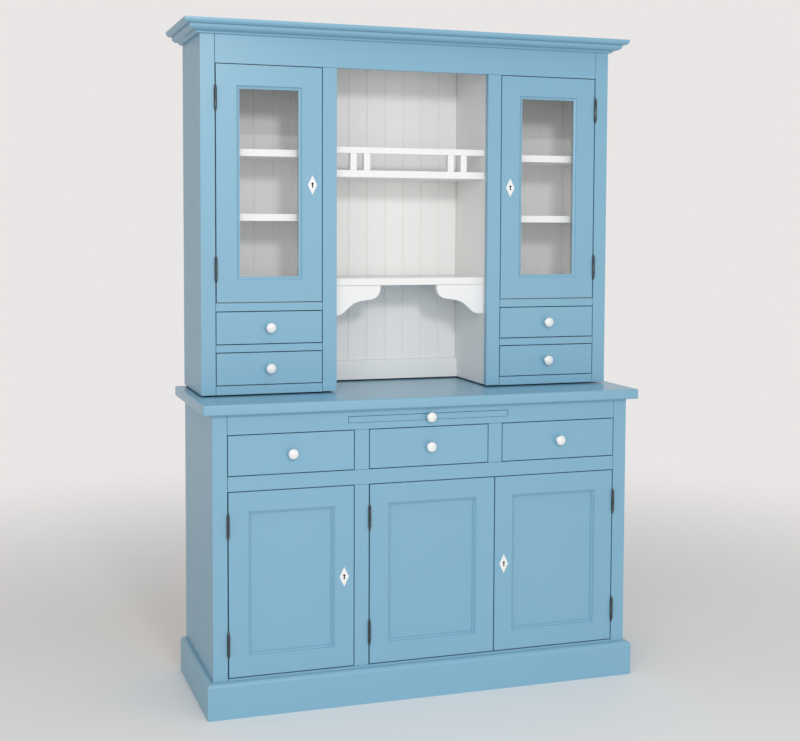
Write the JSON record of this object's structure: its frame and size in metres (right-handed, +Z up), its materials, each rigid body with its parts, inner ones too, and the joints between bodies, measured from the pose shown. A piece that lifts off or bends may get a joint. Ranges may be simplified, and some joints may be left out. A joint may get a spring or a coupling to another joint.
{
  "type": "buffet cabinet",
  "caption": "Two-part painted buffet: base with panelled doors, drawers and pull-out board under a set-back hutch with glazed doors, an open shelved bay and a cornice.",
  "frame": {"origin": "on the floor, halfway along the width and halfway between the front of the knobs and the back of the base", "axes": "+Z up, +X to the right as seen from the front, +Y from the front to the back"},
  "size_m": [1.432, 0.502, 2.0362],
  "materials": {
    "blue_paint": "satin blue paint on solid wood",
    "white_paint": "satin white paint on wood",
    "bare_pine": "clear waxed softwood",
    "dark_iron": "dark oiled iron",
    "zinc_steel": "plain zinc-plated steel",
    "white_knob": "gloss white enamel on turned wood",
    "clear_glass": "clear float glass",
    "dark_felt": "dark felt pads"
  },
  "bodies": {
    "cabinet": {"base_back_boards": "bare_pine", "base_drawer_runners": "bare_pine", "base_face_rails": "blue_paint", "base_face_stiles": "blue_paint", "base_partitions": "white_paint", "base_shelves": "white_paint", "base_sides": "blue_paint", "countertop": "blue_paint", "plinth": "blue_paint", "cornice": "blue_paint", "hutch_sides": "blue_paint", "hutch_face_stiles": "blue_paint", "hutch_face_rails": "blue_paint", "hutch_partitions": "white_paint", "hutch_decks": "white_paint", "hutch_back_boards": "white_paint", "hutch_cabinet_shelves": "white_paint", "hutch_pads": "dark_felt", "plate_gallery": "white_paint", "centre_shelf": "white_paint", "centre_skirting": "white_paint", "hinge_frame_leaves": "dark_iron", "shelf_pins": "zinc_steel"},
    "pull_out_board": {"pull_out_board": "blue_paint", "pull_out_board_knob": "white_knob"},
    "base_left_door": {"base_left_door_leaf": "blue_paint", "base_left_door_hardware": "dark_iron", "base_left_door_escutcheon": "white_knob"},
    "base_left_door_lock_bolt": {"base_left_door_lock_bolt": "zinc_steel"},
    "base_middle_door": {"base_middle_door_leaf": "blue_paint", "base_middle_door_hardware": "dark_iron"},
    "base_middle_door_slide_bolt": {"base_middle_door_slide_bolt": "zinc_steel"},
    "base_right_door": {"base_right_door_leaf": "blue_paint", "base_right_door_hardware": "dark_iron", "base_right_door_escutcheon": "white_knob"},
    "base_right_door_lock_bolt": {"base_right_door_lock_bolt": "zinc_steel"},
    "hutch_left_door": {"hutch_left_door_frame": "blue_paint", "hutch_left_door_glass": "clear_glass", "hutch_left_door_hardware": "dark_iron", "hutch_left_door_escutcheon": "white_knob"},
    "hutch_left_door_lock_bolt": {"hutch_left_door_lock_bolt": "zinc_steel"},
    "hutch_right_door": {"hutch_right_door_frame": "blue_paint", "hutch_right_door_glass": "clear_glass", "hutch_right_door_hardware": "dark_iron", "hutch_right_door_escutcheon": "white_knob"},
    "hutch_right_door_lock_bolt": {"hutch_right_door_lock_bolt": "zinc_steel"},
    "base_left_drawer": {"base_left_drawer": "blue_paint", "base_left_drawer_knob": "white_knob"},
    "base_middle_drawer": {"base_middle_drawer": "blue_paint", "base_middle_drawer_knob": "white_knob"},
    "base_right_drawer": {"base_right_drawer": "blue_paint", "base_right_drawer_knob": "white_knob"},
    "hutch_left_lower_drawer": {"hutch_left_lower_drawer": "blue_paint", "hutch_left_lower_drawer_knob": "white_knob"},
    "hutch_left_upper_drawer": {"hutch_left_upper_drawer": "blue_paint", "hutch_left_upper_drawer_knob": "white_knob"},
    "hutch_right_lower_drawer": {"hutch_right_lower_drawer": "blue_paint", "hutch_right_lower_drawer_knob": "white_knob"},
    "hutch_right_upper_drawer": {"hutch_right_upper_drawer": "blue_paint", "hutch_right_upper_drawer_knob": "white_knob"}
  },
  "joints": [
    {"name": "base_left_door_hinge", "type": "hinge", "parent": "cabinet", "child": "base_left_door", "pos_m": [-0.6179, -0.2286, 0.3885], "axis": [0, 0, -1], "range_deg": [0, 110]},
    {"name": "base_left_door_lock", "type": "slide", "parent": "base_left_door", "child": "base_left_door_lock_bolt", "axis": [1, 0, 0], "range_m": [0, 0.007]},
    {"name": "base_middle_door_hinge", "type": "hinge", "parent": "cabinet", "child": "base_middle_door", "pos_m": [-0.1904, -0.2286, 0.3885], "axis": [0, 0, -1], "range_deg": [0, 110]},
    {"name": "base_middle_door_bolt", "type": "slide", "parent": "base_middle_door", "child": "base_middle_door_slide_bolt", "axis": [0, 0, 1], "range_m": [0, 0.014]},
    {"name": "base_right_door_hinge", "type": "hinge", "parent": "cabinet", "child": "base_right_door", "pos_m": [0.6179, -0.2286, 0.3885], "axis": [0, 0, 1], "range_deg": [0, 110]},
    {"name": "base_right_door_lock", "type": "slide", "parent": "base_right_door", "child": "base_right_door_lock_bolt", "axis": [-1, 0, 0], "range_m": [0, 0.007]},
    {"name": "hutch_left_door_hinge", "type": "hinge", "parent": "cabinet", "child": "hutch_left_door", "pos_m": [-0.6196, -0.0671, 1.5567], "axis": [0, 0, -1], "range_deg": [0, 110]},
    {"name": "hutch_left_door_lock", "type": "slide", "parent": "hutch_left_door", "child": "hutch_left_door_lock_bolt", "axis": [1, 0, 0], "range_m": [0, 0.007]},
    {"name": "hutch_right_door_hinge", "type": "hinge", "parent": "cabinet", "child": "hutch_right_door", "pos_m": [0.6196, -0.0671, 1.5567], "axis": [0, 0, 1], "range_deg": [0, 110]},
    {"name": "hutch_right_door_lock", "type": "slide", "parent": "hutch_right_door", "child": "hutch_right_door_lock_bolt", "axis": [-1, 0, 0], "range_m": [0, 0.007]},
    {"name": "base_left_drawer_slide", "type": "slide", "parent": "cabinet", "child": "base_left_drawer", "axis": [0, -1, 0], "range_m": [0, 0.33]},
    {"name": "base_middle_drawer_slide", "type": "slide", "parent": "cabinet", "child": "base_middle_drawer", "axis": [0, -1, 0], "range_m": [0, 0.33]},
    {"name": "base_right_drawer_slide", "type": "slide", "parent": "cabinet", "child": "base_right_drawer", "axis": [0, -1, 0], "range_m": [0, 0.33]},
    {"name": "hutch_left_lower_drawer_slide", "type": "slide", "parent": "cabinet", "child": "hutch_left_lower_drawer", "axis": [0, -1, 0], "range_m": [0, 0.2]},
    {"name": "hutch_left_upper_drawer_slide", "type": "slide", "parent": "cabinet", "child": "hutch_left_upper_drawer", "axis": [0, -1, 0], "range_m": [0, 0.2]},
    {"name": "hutch_right_lower_drawer_slide", "type": "slide", "parent": "cabinet", "child": "hutch_right_lower_drawer", "axis": [0, -1, 0], "range_m": [0, 0.2]},
    {"name": "hutch_right_upper_drawer_slide", "type": "slide", "parent": "cabinet", "child": "hutch_right_upper_drawer", "axis": [0, -1, 0], "range_m": [0, 0.2]},
    {"name": "pull_out_board_slide", "type": "slide", "parent": "cabinet", "child": "pull_out_board", "axis": [0, -1, 0], "range_m": [0, 0.33]}
  ]
}
